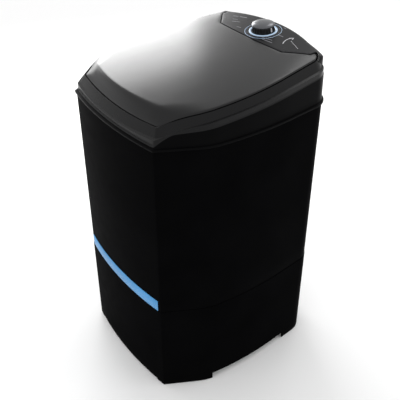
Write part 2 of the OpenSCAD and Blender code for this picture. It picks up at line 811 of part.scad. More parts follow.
bracket_half = 92;
bracket_places = [for (s = [-1, 1]) for (y = [78, 108]) [s * (bracket_half + 12), y]];
module motor_bracket() {
    top = tub_floor - tub_wall;
    color("#9da0a6") difference() {
        union() {
            translate([-bracket_half, 60, bracket_z]) cube([2 * bracket_half, 150, 3]);
            for (s = [-1, 1]) {
                translate([s * bracket_half - 1.5, 60, bracket_z]) cube([3, 62, top - bracket_z]);
                translate([s * (bracket_half + 12) - 13.5, 60, top - 3]) cube([27, 62, 3]);
            }
        }
        on_motor(bracket_z - 5) cylinder(h = 20, r = 18);
        for (a = [45:90:315]) on_motor(bracket_z - 5) rotate([0, 0, a]) translate([66, 0, 0])
            cylinder(h = 20, r = 6, $fn = 48);
        for (p = bracket_places) translate([p[0], p[1], top - 10])
            cylinder(h = 20, r = 3.1, $fn = 32);
        translate([clamp_x, clamp_y - 26, bracket_z - 5]) cylinder(h = 20, r = 2.1, $fn = 32);
    }
}

module bracket_bolts() {
    color("#c9ccd2") for (p = bracket_places) translate([p[0], p[1], tub_floor - tub_wall - 3])
        mirror([0, 0, 1]) bolt(3, 5.5);
}

module motor_grommets() {
    color("#1a1a1c") for (a = [45:90:315]) on_motor(motor_top) rotate([0, 0, a])
        translate([66, 0, 0]) difference() {
            union() {
                cylinder(h = 8, r = 9);
                cylinder(h = 11, r = 5.9);
                translate([0, 0, 11]) cylinder(h = 3, r = 9);
            }
            translate([0, 0, -1]) cylinder(h = 20, r = 3.1, $fn = 32);
        }
}

module motor_bolts() {
    color("#c9ccd2") for (a = [45:90:315]) on_motor(motor_top + 14) rotate([0, 0, a])
        translate([66, 0, 0]) bolt(3, 22);
}

clamp_x = -73;
clamp_y = 191;
capacitor_r = 18;
module capacitor() {
    color("#dcdad2") translate([clamp_x, clamp_y, bracket_z + 3]) {
        cylinder(h = 72, r = capacitor_r);
        for (s = [-1, 1]) translate([s * 7 - 3, -0.4, 72 - eps]) cube([6, 0.8, 8]);
    }
}

module capacitor_clamp() {
    color("#9da0a6") {
        translate([clamp_x, clamp_y, bracket_z + 18]) tube(14, capacitor_r + 1.3, capacitor_r + 0.1);
        translate([clamp_x - 6, clamp_y - capacitor_r - 3.6, bracket_z + 3]) cube([12, 2.4, 29]);
        difference() {
            translate([clamp_x - 6, clamp_y - 34, bracket_z + 3]) cube([12, 14, 2]);
            translate([clamp_x, clamp_y - 26, bracket_z]) cylinder(h = 20, r = 2.1, $fn = 32);
        }
    }
}

// ---------------------------------------------------------------- wiring

loom_r = 4;
loom_from_gland = [[gland_x, 225.9, gland_z], [gland_x, 214, gland_z],
    [gland_x, 206, gland_z + 12], [gland_x, 203, 200], [-112, 200, 270], [-98, 197, 292],
    [-85, 193, 300], [-75, 191, 297], [-73, 191, 290]];
loom_to_timer = [[-112, 198, 262], [-128, 200, 300], [-140, 200, 340], [-140, 200, 700],
    [-132, 200, 740], [-100, 200, 772], [-50, 199, 790], [-16, 198, 796], [-8, 197, 804],
    [-7, 197, 810.6]];

// Direction of a route at its point i
function heading(p, i) = unit(p[min(i + 1, len(p) - 1)] - p[max(i - 1, 0)]);

// Round lead swept along a list of points, which never runs along the direction given
module lead(p, r, across, sides = 10) {
    ring = [for (i = [0:len(p) - 1]) let (
        h = heading(p, i), a = unit(cross(h, across)), b = cross(h, a))
        for (j = [0:sides - 1]) p[i] + r * (cos(360 * j / sides) * a + sin(360 * j / sides) * b)];
    polyhedron(ring, concat(
        [[for (j = [0:sides - 1]) j]],
        [for (i = [0:len(p) - 2]) for (j = [0:sides - 1]) let (k = (j + 1) % sides)
            [i * sides + k, i * sides + j, (i + 1) * sides + j, (i + 1) * sides + k]],
        [[for (j = [sides - 1:-1:0]) (len(p) - 1) * sides + j]]));
}

module wiring_loom() {
    color("#2b2c30") {
        lead(loom_from_gland, loom_r, [1, 0, 0]);
        lead(loom_to_timer, loom_r - 0.5, [0, 1, 0]);
    }
}

// ---------------------------------------------------------------- back of the machine

cover_screw_xz = [for (s = [-1, 1]) for (z = [service_z[0] + 6, (service_z[0] + service_z[1]) / 2,
    service_z[1] - 6]) [s * (service_w / 2 - 6), z]];

// Y of the back face at distance x from the middle, at an inset
function back_y(x, d) = half_d - back_r + sqrt(pow(back_r - d, 2) - x * x);

// Places each screw square to the bowed back face of the service cover
module cover_screw_places() {
    for (p = cover_screw_xz) translate([p[0], back_y(p[0], 1.9), p[1]])
        rotate([-90, 0, -asin(p[0] / back_r)]) children();
}

module rear_service_cover() {
    color("#101114") difference() {
        intersection() {
            translate([0, 0, service_z[0]]) linear_extrude(service_z[1] - service_z[0]) difference() {
                plan2d(2);
                plan2d(cabinet_inset);
            }
            translate([-service_w / 2, 0, 0]) cube([service_w, half_d + 10, big]);
        }
        cover_screw_places() cylinder(h = 20, r = 1.9, center = true, $fn = 32);
    }
}

module rear_cover_screws() {
    color("#9da0a6") cover_screw_places() screw(3.4, 1.6, 1.85, 8);
}

hose_r = 15;
hose_bend = 40;
module drain_hose() {
    top = tub_floor - 18;
    end_y = half_d - 43;
    color("#5b5e64") {
        translate([drain_xy[0], drain_xy[1], spigot_z + hose_bend])
            tube(top - spigot_z - hose_bend, hose_r + 1.5, 13.1);
        translate([drain_xy[0], drain_xy[1] + hose_bend, spigot_z + hose_bend])
            rotate([90, 0, 90]) rotate([0, 0, 180]) rotate_extrude(angle = 90)
            translate([hose_bend, 0]) ring2d(hose_r + 1.5, 13.1);
        translate([drain_xy[0], drain_xy[1] + hose_bend, spigot_z]) rotate([-90, 0, 0])
            tube(end_y - drain_xy[1] - hose_bend, hose_r + 1.5, 13.1);
    }
}

module hose_clamps() {
    color("#b8bac0") {
        translate([drain_xy[0], drain_xy[1], tub_floor - 34]) tube(9, hose_r + 2.8, hose_r + 1.6);
        translate([drain_xy[0], half_d - 60, spigot_z]) rotate([-90, 0, 0])
            tube(9, hose_r + 2.8, hose_r + 1.6);
    }
}

module drain_spigot() {
    color("#2c2e33") translate([spigot_x, 0, spigot_z]) difference() {
        union() {
            translate([0, half_d - 65, 0]) rotate([-90, 0, 0]) cylinder(h = 64.5, r = spigot_r);
            translate([0, half_d - 39, 0]) rotate([-90, 0, 0]) cylinder(h = 5, r = 20);
            translate([0, half_d - 39, 0]) rotate([-90, 0, 0]) cylinder(h = 23, r = 16);
        }
        translate([0, half_d - 70, 0]) rotate([-90, 0, 0]) cylinder(h = 100, r = 10);
    }
}

module cable_gland() {
    color("#1a1a1c") translate([gland_x, 0, gland_z]) rotate([-90, 0, 0]) difference() {
        union() {
            translate([0, 0, half_d - 39]) cylinder(h = 26, r = 8);
            translate([0, 0, half_d - 14]) cylinder(h = 4, r = 12);
            translate([0, 0, half_d - 10]) cylinder(h = 6, r1 = 9, r2 = 7);
        }
        translate([0, 0, half_d - 36]) cylinder(h = 60, r = 4);
    }
}

// Screws through the base's spigot ring into the cabinet, one on each side
side_screw_x = widest[0] - 15;
module base_screw_places() {
    for (a = [0:90:270]) rotate([0, 0, a])
        translate([(a % 180 == 0 ? side_screw_x : half_d - 10), 0, seam_z + 7])
        rotate([0, -90, 0]) children();
}

module base_screws() {
    color("#c9ccd2") base_screw_places() translate([0, 0, 0.05]) screw(3.4, 2, 1.85, 5);
}

foot_places = [[-172, -196], [172, -196], [-184, 172], [184, 172]];
module foot_pads() {
    color("#1a1a1c") for (p = foot_places) translate([p[0], p[1], 0]) {
        rotate_extrude() polygon([[0, 0], [17, 0], [19, 2], [19, 8], [0, 8]]);
        translate([0, 0, 8 - eps]) cylinder(h = 14, r = 2.5, $fn = 32);
    }
}

upper_cabinet();
base_skirt();
gland_plate();
front_stripe();
top_cover();
lid();
lid_buffers();
lid_hinge_pins();
control_panel();
dial_ring();
timer_knob();
knob_cap();
timer_body();
timer_shaft();
timer_screws();
wash_tub();
tub_screws();
lint_filter_frame();
lint_filter();
impeller();
impeller_screw();
drive_shaft();
bearing_housing();
shaft_bushes();
shaft_seal();
housing_bolts();
driven_pulley();
pulley_nut();
drive_belt();
motor_pulley();
motor_shaft();
motor_body();
motor_bracket();
bracket_bolts();
motor_grommets();
motor_bolts();
capacitor();
capacitor_clamp();
wiring_loom();
rear_service_cover();
rear_cover_screws();
drain_hose();
hose_clamps();
drain_spigot();
cable_gland();
base_screws();
foot_pads();
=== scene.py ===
"""Looks of the top load washing machine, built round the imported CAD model."""
import math

import bmesh
import bpy
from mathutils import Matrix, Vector, geometry


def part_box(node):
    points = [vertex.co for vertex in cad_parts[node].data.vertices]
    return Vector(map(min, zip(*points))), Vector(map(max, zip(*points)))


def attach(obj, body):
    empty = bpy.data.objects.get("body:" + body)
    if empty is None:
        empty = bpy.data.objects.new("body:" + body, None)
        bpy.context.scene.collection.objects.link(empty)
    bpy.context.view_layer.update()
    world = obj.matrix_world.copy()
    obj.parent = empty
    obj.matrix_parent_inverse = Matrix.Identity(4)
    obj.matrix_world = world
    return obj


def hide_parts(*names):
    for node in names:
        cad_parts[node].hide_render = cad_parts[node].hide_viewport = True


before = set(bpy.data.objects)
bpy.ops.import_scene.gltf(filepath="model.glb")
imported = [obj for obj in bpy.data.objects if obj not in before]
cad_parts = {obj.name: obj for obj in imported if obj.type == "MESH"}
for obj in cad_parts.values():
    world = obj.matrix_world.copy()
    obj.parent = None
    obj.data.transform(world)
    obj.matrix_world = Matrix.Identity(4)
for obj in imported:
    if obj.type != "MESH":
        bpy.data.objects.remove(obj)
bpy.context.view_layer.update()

MM = 0.001

# ------------------------------------------------------------------ driving dimensions

RIM_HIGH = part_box("top_cover")[1]
CABINET_LOW, CABINET_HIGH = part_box("upper_cabinet")

HALF_D = RIM_HIGH[1]
HALF_W = 0.246
SEAM_Z = CABINET_LOW[2]
BEAD_Z = CABINET_HIGH[2]
RIM_Z = BEAD_Z + 6 * MM
FRONT_HALF = 178 * MM
FRONT_BOW = 17 * MM
BACK_HALF = 192 * MM
BACK_BOW = 38 * MM
FLARE = 0.536
WALL = 3 * MM
CABINET_INSET = 4 * MM
BASE_INSET = 3 * MM
CROWN_INSET = 25 * MM
SLOPE = math.tan(math.radians(4.8))
GAP_Z = 0.8275
CROWN_RISE = 13 * MM
CROWN_Z = GAP_Z + CROWN_RISE
LID_GAP = 2 * MM
DECK_DROP = 12 * MM
TUB_HALF_W = 186 * MM
TUB_HALF_D = 165 * MM
TUB_CORNER_R = 70 * MM
TUB_CENTRE = Vector((0, -42 * MM))
COLLAR_LOW = 752 * MM
SHOULDER_SWELL = 5.5 * MM


# ------------------------------------------------------------------ outlines in plan

def bow_r(half, bow):
    """Radius of an arc that bows out by bow over a chord of twice half."""
    return (half * half + bow * bow) / (2 * bow)


def unit(v):
    return v / v.length


def left_of(v):
    return Vector((-v.y, v.x))


def corner(x, y, r, arc_steps, run_steps):
    """A corner of an outline: place, radius, steps along its arc and steps to the next arc."""
    return {"p": Vector((x, y)), "r": r, "arc": arc_steps, "run": run_steps}


def mirrored(corners):
    out = []
    for i in range(len(corners) - 1, -1, -1):
        c = corners[i]
        run = corners[i - 1]["run"] if i else c["run"]
        out.append(corner(-c["p"].x, c["p"].y, c["r"], c["arc"], run))
    return out


def inset_corners(corners, d):
    n = len(corners)
    out = []
    for i, c in enumerate(corners):
        n0 = left_of(unit(c["p"] - corners[i - 1]["p"]))
        n1 = left_of(unit(corners[(i + 1) % n]["p"] - c["p"]))
        q = c["p"] + (n0 + n1) * (d / (1 + n0.dot(n1)))
        out.append({**c, "p": q, "r": max(c["r"] - d, 0.5 * MM)})
    return out


FRONT_R = bow_r(FRONT_HALF, FRONT_BOW)
BACK_R = bow_r(BACK_HALF, BACK_BOW)
OVERRUN = 40 * MM
PLAN_RIGHT = [
    corner(FRONT_HALF - FLARE * OVERRUN, FRONT_BOW - HALF_D - OVERRUN, MM, 0, 14),
    corner(HALF_W - 9 * MM, 128 * MM - HALF_D, 150 * MM, 14, 3),
    corner(HALF_W + 4 * MM, 0, 900 * MM, 26, 4),
    corner(HALF_W - 20.2 * MM, HALF_D - 51.8 * MM, 60 * MM, 16, 1),
]
BACK_TIP = HALF_D - BACK_BOW + BACK_HALF * math.tan(math.asin(BACK_HALF / BACK_R))
PLAN = PLAN_RIGHT + [corner(0, BACK_TIP, BACK_R, 40, 1)] + mirrored(PLAN_RIGHT)

CROWN_BACK_HALF = 168 * MM
CROWN_BACK_BOW = 34 * MM
CROWN_BACK_R = bow_r(CROWN_BACK_HALF, CROWN_BACK_BOW)
CROWN_BACK = HALF_D - 11 * MM
CROWN_TIP = (CROWN_BACK - CROWN_BACK_BOW
             + CROWN_BACK_HALF * math.tan(math.asin(CROWN_BACK_HALF / CROWN_BACK_R)))
INNER = inset_corners(PLAN, CROWN_INSET)
CROWN_RIGHT = [INNER[0], INNER[1], {**INNER[2], "r": 700 * MM},
               corner(192.8 * MM, HALF_D - 55.5 * MM, 42 * MM, 16, 1)]
CROWN = CROWN_RIGHT + [corner(0, CROWN_TIP, CROWN_BACK_R, 40, 1)] + mirrored(CROWN_RIGHT)

FRONT_STEPS = 26


def rounded(corners, first, last):
    """Points of the outline from one corner's arc to another's, with each run between divided."""
    n = len(corners)
    arcs = []
    for i in range(first, last + 1):
        c = corners[i]
        u0 = unit(c["p"] - corners[i - 1]["p"])
        u1 = unit(corners[(i + 1) % n]["p"] - c["p"])
        n0, n1 = left_of(u0), left_of(u1)
        o = c["p"] + (n0 + n1) * (c["r"] / (1 + n0.dot(n1)))
        turn = math.acos(max(-1, min(1, u0.dot(u1))))
        a = math.atan2(n0.y, n0.x)
        k = max(2, c["arc"])
        arcs.append([o - c["r"] * Vector((math.cos(a + turn * j / k), math.sin(a + turn * j / k)))
                     for j in range(k + 1)])
    points = []
    for i, arc in enumerate(arcs):
        points += arc
        if i + 1 < len(arcs):
            steps = corners[first + i]["run"]
            points += [arc[-1].lerp(arcs[i + 1][0], s / steps) for s in range(1, steps)]
    return points


def outline(corners, front_r, soft=2.5 * MM):
    """Closed outline, anticlockwise from the left front corner, with that corner just softened."""
    o = Vector((0, FRONT_R - HALF_D))
    p = corners[0]["p"] - o
    u = unit(corners[1]["p"] - corners[0]["p"])
    b = p.dot(u)
    k = p + u * (-b - math.sqrt(b * b - p.dot(p) + front_r ** 2))
    a = math.asin(k.x / front_r) - soft / front_r
    front = [o + front_r * Vector((math.sin(a * j / FRONT_STEPS), -math.cos(a * j / FRONT_STEPS)))
             for j in range(-FRONT_STEPS, FRONT_STEPS + 1)]
    tip = o + k
    leave = tip + u * soft

    def bend(start, middle, end):
        return [start.lerp(middle, s).lerp(middle.lerp(end, s), s) for s in (0.25, 0.5, 0.75)]

    side = rounded(corners, 1, len(corners) - 2)
    steps = corners[0]["run"]
    right = bend(front[-1], tip, leave) + [leave.lerp(side[0], s / steps) for s in range(steps)]
    left = [Vector((-q.x, q.y)) for q in reversed(right)]
    return front + right + side + left


def plan(d):
    return outline(inset_corners(PLAN, d), FRONT_R - d)


def crown(d):
    return outline(inset_corners(CROWN, d), FRONT_R - CROWN_INSET - d)


# ------------------------------------------------------------------ heights of the top

GAP_FALL_Y = -112 * MM
GAP_FALL = 23.3 * MM
GAP_FALL_RUN = 128 * MM
SHOULDER_DROP = 29.9 * MM
CREASE_FALL_Y = -203 * MM
CREASE_FALL = 30 * MM
CREASE_RUN = 46 * MM


def gap_height(y):
    """Height of the gap round the lid: a straight slope that falls over towards the front."""
    u = max(0, (GAP_FALL_Y - y) / GAP_FALL_RUN)
    return GAP_Z + y * SLOPE - GAP_FALL * u * u


def crease_height(y):
    """Height of the crease where the upright band turns into the shoulder."""
    v = max(0, (CREASE_FALL_Y - y) / CREASE_RUN)
    return max(RIM_Z + 1.2 * MM, GAP_Z - SHOULDER_DROP + y * SLOPE - CREASE_FALL * v ** 1.4)


# ------------------------------------------------------------------ mesh helpers

def mesh_piece(name, verts, faces, material, body, node_slot, smooth_deg=40):
    """A smooth-shaded mesh with one material that rides on a body; node_slot is not used."""
    mesh = bpy.data.meshes.new(name)
    mesh.from_pydata([tuple(v) for v in verts], [], faces)
    mesh.validate()
    shell = bmesh.new()
    shell.from_mesh(mesh)
    bmesh.ops.recalc_face_normals(shell, faces=shell.faces)
    shell.to_mesh(mesh)
    shell.free()
    mesh.materials.append(material)
    piece = bpy.data.objects.new(name, mesh)
    bpy.context.scene.collection.objects.link(piece)
    for p in mesh.polygons:
        p.use_smooth = True
    mesh.set_sharp_from_angle(angle=math.radians(smooth_deg))
    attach(piece, body)
    return piece


def loft(loops, closed=True):
    """Quads between loops of equal length; closed joins the last loop to the first."""
    n = len(loops[0])
    verts = [v for loop in loops for v in loop]
    faces = []
    count = len(loops)
    for i in range(count if closed else count - 1):
        a, b = i * n, ((i + 1) % count) * n
        for j in range(n):
            k = (j + 1) % n
            faces.append((a + j, a + k, b + k, b + j))
    return verts, faces


def swept(sections):
    """Closed bar through cross-sections of equal length, capped at both ends."""
    n = len(sections[0])
    verts = [v for section in sections for v in section]
    last = (len(sections) - 1) * n
    faces = [tuple(reversed(range(n))), tuple(range(last, last + n))]
    for i in range(0, last, n):
        for j in range(n):
            k = (j + 1) % n
            faces.append((i + j, i + k, i + n + k, i + n + j))
    return verts, faces


def turned(profile, steps, place, wave=None):
    """Solid of revolution; a profile that starts on the axis gets poles, any other is a ring."""
    polar = profile[0][0] == 0
    rows = profile[1:-1] if polar else profile
    n = len(rows)
    verts, faces = [], []
    for r, z in rows:
        for j in range(steps):
            a = 2 * math.pi * j / steps
            grown = r + (wave(z, a) if wave else 0)
            verts.append(place(Vector((grown * math.cos(a), grown * math.sin(a), z))))
    for i in range(n - 1 if polar else n):
        p, q = i * steps, ((i + 1) % n) * steps
        for j in range(steps):
            k = (j + 1) % steps
            faces.append((p + j, p + k, q + k, q + j))
    if polar:
        verts += [place(Vector((0, 0, profile[0][1]))), place(Vector((0, 0, profile[-1][1])))]
        low, high, top = len(verts) - 2, len(verts) - 1, (n - 1) * steps
        for j in range(steps):
            k = (j + 1) % steps
            faces += [(low, k, j), (high, top + j, top + k)]
    return verts, faces


def joined(parts):
    """Several (verts, faces) as one."""
    verts, faces = [], []
    for part_verts, part_faces in parts:
        shift = len(verts)
        verts += part_verts
        faces += [tuple(i + shift for i in f) for f in part_faces]
    return verts, faces


def at_height(points, z):
    """Plan points as a loop at height z, which may be a function of y."""
    if callable(z):
        return [Vector((p.x, p.y, z(p.y))) for p in points]
    return [Vector((p.x, p.y, z)) for p in points]


def mixed(loop_a, loop_b, t, rise=0.0):
    """The loop part of the way from one to the other, lifted by rise."""
    return [a.lerp(b, t) + Vector((0, 0, rise)) for a, b in zip(loop_a, loop_b)]


# ------------------------------------------------------------------ materials

def principled(name, color, rough, **sockets):
    m = bpy.data.materials.new(name)
    m.use_nodes = True
    shader = m.node_tree.nodes["Principled BSDF"]
    shader.inputs["Base Color"].default_value = (*color, 1)
    shader.inputs["Roughness"].default_value = rough
    for socket, value in sockets.items():
        shader.inputs[socket.replace("_", " ")].default_value = value
    return m


def add(m, kind, **values):
    node = m.node_tree.nodes.new(kind)
    for key, value in values.items():
        setattr(node, key, value)
    return node


def noise(m, scale, detail=3.0, rough=0.5, coords=None):
    tree = m.node_tree
    if coords is None:
        coords = add(m, "ShaderNodeTexCoord").outputs["Object"]
    n = add(m, "ShaderNodeTexNoise")
    n.inputs["Scale"].default_value = scale
    n.inputs["Detail"].default_value = detail
    n.inputs["Roughness"].default_value = rough
    tree.links.new(coords, n.inputs["Vector"])
    return n.outputs["Fac"]


def ramp(m, source, stops):
    r = add(m, "ShaderNodeValToRGB")
    while len(r.color_ramp.elements) < len(stops):
        r.color_ramp.elements.new(0.5)
    for element, (place, color) in zip(r.color_ramp.elements, stops):
        element.position = place
        element.color = (*color, 1) if len(color) == 3 else color
    m.node_tree.links.new(source, r.inputs["Fac"])
    return r.outputs["Color"]


def bump(m, source, strength, distance):
    b = add(m, "ShaderNodeBump")
    b.inputs["Strength"].default_value = strength
    b.inputs["Distance"].default_value = distance
    m.node_tree.links.new(source, b.inputs["Height"])
    shader = m.node_tree.nodes["Principled BSDF"]
    if shader.inputs["Normal"].links:
        m.node_tree.links.new(shader.inputs["Normal"].links[0].from_socket, b.inputs["Normal"])
    m.node_tree.links.new(b.outputs["Normal"], shader.inputs["Normal"])


def shader_link(m, source, socket):
    m.node_tree.links.new(source, m.node_tree.nodes["Principled BSDF"].inputs[socket])


def moulded(name, color, rough, spread, grain, grain_m, **sockets):
    """Moulded plastic: slight mottling of colour and gloss, and a fine surface grain."""
    m = principled(name, color, rough, **sockets)
    soft = noise(m, 9.0, 2.0)
    shader_link(m, ramp(m, soft, [(0.3, tuple(c * 0.85 for c in color)),
                                  (0.7, tuple(min(1, c * 1.15) for c in color))]), "Base Color")
    level = rough - spread
    shader_link(m, ramp(m, noise(m, 35.0, 4.0), [(0.3, (level,) * 3), (0.7, (rough + spread,) * 3)]),
                "Roughness")
    bump(m, noise(m, grain, 2.0), 0.25, grain_m)
    return m


BLACK = (0.0021, 0.0021, 0.0023)
MAT = {
    "cabinet": moulded("cabinet_black", BLACK, 0.42, 0.04, 900, 0.00004, Specular_IOR_Level=0.002),
    "base": moulded("base_black", BLACK, 0.45, 0.04, 900, 0.00004, Specular_IOR_Level=0.0015),
    "cover": moulded("cover_black", (0.003, 0.003, 0.0034), 0.28, 0.02, 900, 0.00002,
                     Specular_IOR_Level=0.17),
    "cover_low": moulded("cover_black_satin", BLACK, 0.34, 0.03, 900, 0.00003,
                         Specular_IOR_Level=0.02),
    "lid": moulded("lid_gloss_black", (0.003, 0.003, 0.0034), 0.24, 0.015, 700, 0.00001,
                   Specular_IOR_Level=0.27),
    "panel": moulded("panel_grey", (0.007, 0.007, 0.008), 0.3, 0.03, 900, 0.00001,
                     Specular_IOR_Level=0.09),
    "stripe": moulded("stripe_blue", (0.066, 0.27, 0.55), 0.35, 0.03, 800, 0.00001,
                      Specular_IOR_Level=0.2),
    "ring": moulded("ring_pale_blue", (0.5, 0.66, 0.86), 0.25, 0.03, 600, 0.00001),
    "ring_dark": moulded("ring_dark_blue", (0.008, 0.02, 0.07), 0.3, 0.03, 600, 0.00001),
    "knob": moulded("knob_black", (0.002, 0.002, 0.0022), 0.3, 0.03, 700, 0.00002,
                    Specular_IOR_Level=0.3),
    "print": moulded("print_white", (0.5, 0.5, 0.52), 0.5, 0.03, 600, 0.00001),
    "print_dim": moulded("print_grey", (0.22, 0.22, 0.24), 0.5, 0.03, 600, 0.00001),
    "cap": moulded("cap_silver", (0.10, 0.103, 0.11), 0.2, 0.03, 400, 0.00001, Metallic=1.0),
    "tub": moulded("tub_grey", (0.035, 0.037, 0.042), 0.38, 0.04, 500, 0.00003),
    "filter_frame": moulded("filter_frame_grey", (0.30, 0.31, 0.33), 0.4, 0.04, 500, 0.00003),
    "filter": moulded("filter_blue", (0.06, 0.2, 0.45), 0.3, 0.04, 500, 0.00003),
    "impeller": moulded("impeller_blue", (0.22, 0.42, 0.6), 0.3, 0.04, 500, 0.00003),
    "case": moulded("case_cream", (0.55, 0.52, 0.44), 0.5, 0.05, 300, 0.00003),
    "steel": moulded("steel_zinc", (0.56, 0.57, 0.6), 0.32, 0.06, 300, 0.00002, Metallic=1.0),
    "sheet": moulded("galvanised_sheet", (0.42, 0.43, 0.46), 0.42, 0.08, 60, 0.00004, Metallic=1.0),
    "alloy": moulded("cast_alloy_grey", (0.45, 0.46, 0.48), 0.48, 0.07, 500, 0.00008, Metallic=1.0),
    "bronze": moulded("sintered_bronze", (0.55, 0.36, 0.14), 0.4, 0.05, 700, 0.00004, Metallic=1.0),
    "paint": moulded("motor_grey_paint", (0.05, 0.055, 0.06), 0.42, 0.05, 250, 0.00004),
    "rubber": moulded("rubber_black", (0.012, 0.012, 0.013), 0.65, 0.05, 500, 0.00006,
                      Specular_IOR_Level=0.25),
    "hose": moulded("hose_grey", (0.11, 0.115, 0.125), 0.5, 0.05, 400, 0.00004),
}
NODE_MATERIALS = {
    "base": ["gland_plate"],
    "cabinet": ["rear_service_cover"],
    "case": ["timer_body", "capacitor"],
    "steel": ["lid_hinge_pins", "timer_shaft", "timer_screws", "tub_screws", "impeller_screw",
              "drive_shaft", "housing_bolts", "pulley_nut", "motor_shaft", "bracket_bolts",
              "motor_bolts", "rear_cover_screws", "hose_clamps", "base_screws"],
    "sheet": ["motor_bracket", "capacitor_clamp"],
    "alloy": ["bearing_housing", "driven_pulley", "motor_pulley"],
    "bronze": ["shaft_bushes"],
    "paint": ["motor_body"],
    "rubber": ["lid_buffers", "shaft_seal", "drive_belt", "motor_grommets", "wiring_loom",
               "cable_gland", "foot_pads"],
    "hose": ["drain_hose"],
    "tub": ["wash_tub", "drain_spigot"],
    "filter_frame": ["lint_filter_frame"],
    "filter": ["lint_filter"],
    "impeller": ["impeller"],
}
for key, nodes in NODE_MATERIALS.items():
    for node_name in nodes:
        cad = bpy.data.objects.get(node_name)
        if cad is not None:
            for material_slot in cad.material_slots:
                material_slot.material = MAT[key]


# ------------------------------------------------------------------ shells

def plan_shell(levels):
    """Closed shell from (inset, height) pairs that run up the outside and down the inside."""
    return loft([at_height(plan(d), z) for d, z in levels])


def make_cabinet():
    """Upper cabinet: one bowed wall from the seam to the bead."""
    d0, d1 = CABINET_INSET, CABINET_INSET + WALL
    z0, z1 = SEAM_Z, BEAD_Z
    levels = [(d0 + 1.2 * MM, z0), (d0 + 0.3 * MM, z0 + 0.4 * MM), (d0, z0 + 1.4 * MM)]
    levels += [(d0, z0 + (z1 - z0) * k / 12) for k in range(1, 12)]
    levels += [(d0, z1), (d1, z1), (d1, z0)]
    piece = mesh_piece("cabinet_shell", *plan_shell(levels), MAT["cabinet"], "cabinet",
                       "cabinet_plastic")
    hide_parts("upper_cabinet")


def make_cover():
    """Top cover: bead, lower band, crease, shoulder, gap, deck and the collar into the tub."""
    t = CABINET_INSET + MM
    wall = t + WALL
    loops = [at_height(plan(d), z) for d, z in [
        (wall, BEAD_Z), (0.9 * MM, BEAD_Z), (0.35 * MM, BEAD_Z + 0.5 * MM), (0.13 * MM, BEAD_Z + 1.4 * MM),
        (0.13 * MM, RIM_Z - 1.6 * MM), (0.45 * MM, RIM_Z - 0.5 * MM), (1.3 * MM, RIM_Z),
        (t - 0.8 * MM, RIM_Z + 0.1 * MM), (t - 0.1 * MM, RIM_Z + 0.6 * MM)]]
    base = at_height(plan(t), RIM_Z + MM)
    crease = at_height(plan(t + 1.5 * MM), crease_height)
    gap = at_height(crown(0), gap_height)
    for s in (0.0, 0.25, 0.5, 0.75, 0.93, 0.975, 1.0):
        loops.append(mixed(base, crease, s))
    rows_below_crease = len(loops) - 1
    for s in (0.03, 0.1, 0.3, 0.5, 0.7, 0.88, 0.97):
        loops.append(mixed(crease, gap, s, rise=SHOULDER_SWELL * s * (1 - s)))
    lip = at_height(crown(0.2 * MM), lambda y: gap_height(y) + 0.2 * MM)
    lip_in = at_height(crown(0.8 * MM), lambda y: gap_height(y) + 0.1 * MM)
    lip_low = at_height(crown(1.0 * MM), lambda y: gap_height(y) - 0.6 * MM)
    deck = at_height(crown(1.0 * MM), lambda y: gap_height(y) - DECK_DROP)
    loops += [lip, lip_in, lip_low, deck]
    mouth = matched(tub_outline(-0.3 * MM), deck)
    loops.append(at_height(mouth, lambda y: gap_height(y) - DECK_DROP))
    loops.append(at_height(mouth, lambda y: COLLAR_LOW))
    outer = matched(tub_outline(-3.3 * MM), deck)
    loops.append(at_height(outer, lambda y: COLLAR_LOW))
    loops.append(at_height(outer, lambda y: gap_height(y) - DECK_DROP - WALL))
    loops.append(mixed(at_height(plan(wall), lambda y: gap_height(y) - DECK_DROP - WALL),
                       at_height(plan(wall), BEAD_Z), 0.02))
    piece = mesh_piece("cover_shell", *loft(loops), MAT["cover"], "cabinet", "cover_plastic", 35)
    piece.data.materials.append(MAT["cover_low"])
    for face in piece.data.polygons:
        if face.index < rows_below_crease * len(base):
            face.material_index = 1
    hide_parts("top_cover")


def tub_outline(d):
    """Rounded rectangle of the tub's wall, moved inwards by d."""
    corners = [corner(x, TUB_CENTRE.y + y, TUB_CORNER_R, 12, 10) for x, y in [
        (TUB_HALF_W, -TUB_HALF_D), (TUB_HALF_W, TUB_HALF_D),
        (-TUB_HALF_W, TUB_HALF_D), (-TUB_HALF_W, -TUB_HALF_D)]]
    moved = inset_corners(corners, d)
    points = rounded(moved, 0, 3)
    return points + [points[-1].lerp(points[0], s / 10) for s in range(1, 10)]


def matched(points, loop):
    """The closed outline resampled to the loop's count, each point on the loop's own bearing."""
    centre = TUB_CENTRE
    n = len(points)
    out = []
    for q in loop:
        d = unit(Vector((q.x, q.y)) - centre)
        best = None
        for i in range(n):
            a, b = points[i] - centre, points[(i + 1) % n] - centre
            e = b - a
            den = d.x * e.y - d.y * e.x
            if abs(den) < 1e-12:
                continue
            s = (a.x * e.y - a.y * e.x) / den
            t = (a.x * d.y - a.y * d.x) / den
            if s > 0 and -1e-6 <= t <= 1 + 1e-6:
                best = centre + d * s
                break
        out.append(best)
    return out


# ------------------------------------------------------------------ lid and panel outlines

PANEL_FRONT = 155 * MM
PANEL_BOW = 7 * MM
PANEL_HALF = 118 * MM
PANEL_BOW_R = bow_r(PANEL_HALF, PANEL_BOW)
PANEL_CORNER = Vector((168 * MM, HALF_D - 67 * MM))
EAR_START = 196 * MM
EAR = [Vector(p) * MM for p in ((187.9, 199.3), (181.6, 207.0), (175.5, 210.4), (169.9, 210.6),
                                (169.6, 197))]
EAR_SOFT = {1: 2.5 * MM, 2: 2.5 * MM, 3: 1.8 * MM, 4: 2.5 * MM}
PANEL_BACK = 217.6 * MM
BOW_STEPS = 24
EDGE_STEP = 8 * MM


